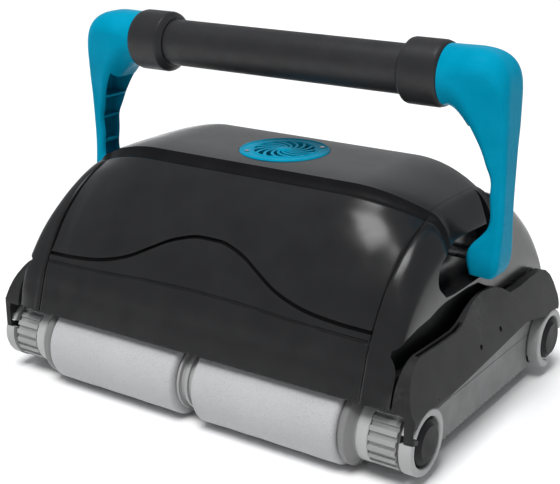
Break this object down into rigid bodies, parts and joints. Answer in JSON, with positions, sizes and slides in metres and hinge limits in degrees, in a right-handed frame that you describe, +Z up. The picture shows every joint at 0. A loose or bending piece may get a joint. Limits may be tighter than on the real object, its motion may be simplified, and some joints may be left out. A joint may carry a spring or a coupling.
{
  "type": "robotic pool cleaner",
  "caption": "Robotic pool cleaner: domed gloss black hood, grey foam rollers and toothed side tracks, round outlet grille and a tilting teal carrying handle.",
  "frame": {"origin": "centre of the footprint, on the surface the machine stands on", "axes": "+X to the machine's right side, +Y to its rear, +Z up; the front is -Y"},
  "size_m": [0.425, 0.311, 0.3171],
  "materials": {
    "hood_black": "gloss moulded",
    "cover_black": "satin moulded",
    "plate_grey": "fine texture",
    "track_grey": "moulded rubber",
    "ring_grey": "satin",
    "wheel_grey": "satin",
    "hub_dark": "satin",
    "steel": "stainless",
    "foam_grey": "fine open-cell foam",
    "tab_teal": "moulded",
    "bush_white": "plain",
    "tray_black": "moulded",
    "flap_black": "moulded",
    "filter_cloth": "fine mesh cloth",
    "motor_black": "moulded",
    "seal_rubber": "moulded",
    "impeller_white": "moulded",
    "teal": "gloss moulded",
    "board_green": "coated",
    "pulley_grey": "moulded",
    "float_foam": "closed-cell foam",
    "grip_black": "soft matte"
  },
  "bodies": {
    "chassis": {"axle_hubs": "hub_dark", "bottom_lid": "tray_black", "cable_gland": "hub_dark", "centre_rings": "ring_grey", "control_board": "board_green", "filter_bag": "filter_cloth", "filter_frame": "steel", "float_blocks": "float_foam", "front_axle": "steel", "guard_rings": "ring_grey", "handle_pins": "steel", "hood": "hood_black", "left_drive_motor": "motor_black", "left_side_arch": "hood_black", "left_side_cover": "cover_black", "left_side_plate": "plate_grey", "left_track": "track_grey", "motor_bridge": "tray_black", "outlet_duct": "tray_black", "outlet_grille": "teal", "pump_motor": "motor_black", "pump_seal": "seal_rubber", "rear_axle": "steel", "right_drive_motor": "motor_black", "right_side_arch": "hood_black", "right_side_cover": "cover_black", "right_side_plate": "plate_grey", "right_track": "track_grey", "roller_brackets": "hub_dark", "roller_bushes": "bush_white", "screws": "steel", "tray": "tray_black"},
    "handle": {"grip_tube": "grip_black", "left_grip_collar": "grip_black", "right_grip_collar": "grip_black", "left_handle_arm": "teal", "right_handle_arm": "teal"},
    "front_left_roller": {"front_left_foam": "foam_grey", "front_left_roller_core": "wheel_grey", "front_left_wheel": "wheel_grey"},
    "front_right_roller": {"front_right_foam": "foam_grey", "front_right_roller_core": "wheel_grey", "front_right_wheel": "wheel_grey"},
    "rear_left_roller": {"rear_left_foam": "foam_grey", "rear_left_roller_core": "wheel_grey", "rear_left_wheel": "wheel_grey"},
    "rear_right_roller": {"rear_right_foam": "foam_grey", "rear_right_roller_core": "wheel_grey", "rear_right_wheel": "wheel_grey"},
    "left_pulley": {"left_drive_pulley": "pulley_grey"},
    "left_flap": {"left_intake_flap": "flap_black"},
    "right_pulley": {"right_drive_pulley": "pulley_grey"},
    "right_flap": {"right_intake_flap": "flap_black"},
    "impeller_rotor": {"impeller": "impeller_white", "pump_shaft": "steel"},
    "front_left_tab": {"front_left_lock_tab": "tab_teal"},
    "front_right_tab": {"front_right_lock_tab": "tab_teal"},
    "rear_left_tab": {"rear_left_lock_tab": "tab_teal"},
    "rear_right_tab": {"rear_right_lock_tab": "tab_teal"}
  },
  "joints": [
    {"name": "handle_tilt", "type": "hinge", "parent": "chassis", "child": "handle", "pos_m": [0, 0, 0.147], "axis": [1, 0, 0], "range_deg": [-45, 45]},
    {"name": "front_left_roller_spin", "type": "hinge", "parent": "chassis", "child": "front_left_roller", "pos_m": [0, -0.12, 0.0355], "axis": [1, 0, 0], "continuous": true},
    {"name": "front_right_roller_spin", "type": "hinge", "parent": "chassis", "child": "front_right_roller", "pos_m": [0, -0.12, 0.0355], "axis": [1, 0, 0], "continuous": true},
    {"name": "rear_left_roller_spin", "type": "hinge", "parent": "chassis", "child": "rear_left_roller", "pos_m": [0, 0.12, 0.0355], "axis": [1, 0, 0], "continuous": true},
    {"name": "rear_right_roller_spin", "type": "hinge", "parent": "chassis", "child": "rear_right_roller", "pos_m": [0, 0.12, 0.0355], "axis": [1, 0, 0], "continuous": true},
    {"name": "left_pulley_spin", "type": "hinge", "parent": "chassis", "child": "left_pulley", "pos_m": [0, 0, 0.0427], "axis": [1, 0, 0], "continuous": true},
    {"name": "right_pulley_spin", "type": "hinge", "parent": "chassis", "child": "right_pulley", "pos_m": [0, 0, 0.0427], "axis": [1, 0, 0], "continuous": true},
    {"name": "impeller_spin", "type": "hinge", "parent": "chassis", "child": "impeller_rotor", "pos_m": [0, 0, 0.167], "axis": [0, 0, 1], "continuous": true},
    {"name": "left_flap_swing", "type": "hinge", "parent": "chassis", "child": "left_flap", "pos_m": [-0.0535, -0.023, 0.0173], "axis": [1, 0, 0], "range_deg": [0, 60]},
    {"name": "right_flap_swing", "type": "hinge", "parent": "chassis", "child": "right_flap", "pos_m": [0.0535, -0.023, 0.0173], "axis": [1, 0, 0], "range_deg": [0, 60]},
    {"name": "front_left_tab_turn", "type": "hinge", "parent": "chassis", "child": "front_left_tab", "pos_m": [-0.133, -0.045, 0.012], "axis": [0, 0, 1], "range_deg": [0, 90]},
    {"name": "front_right_tab_turn", "type": "hinge", "parent": "chassis", "child": "front_right_tab", "pos_m": [0.133, -0.045, 0.012], "axis": [0, 0, 1], "range_deg": [0, 90]},
    {"name": "rear_left_tab_turn", "type": "hinge", "parent": "chassis", "child": "rear_left_tab", "pos_m": [-0.133, 0.045, 0.012], "axis": [0, 0, 1], "range_deg": [0, 90]},
    {"name": "rear_right_tab_turn", "type": "hinge", "parent": "chassis", "child": "rear_right_tab", "pos_m": [0.133, 0.045, 0.012], "axis": [0, 0, 1], "range_deg": [0, 90]}
  ],
  "couplings": [
    {"joint": "rear_left_roller_spin", "follows": "front_left_roller_spin", "ratio": 1},
    {"joint": "left_pulley_spin", "follows": "front_left_roller_spin", "ratio": 1.5143},
    {"joint": "rear_right_roller_spin", "follows": "front_right_roller_spin", "ratio": 1},
    {"joint": "right_pulley_spin", "follows": "front_right_roller_spin", "ratio": 1.5143}
  ]
}
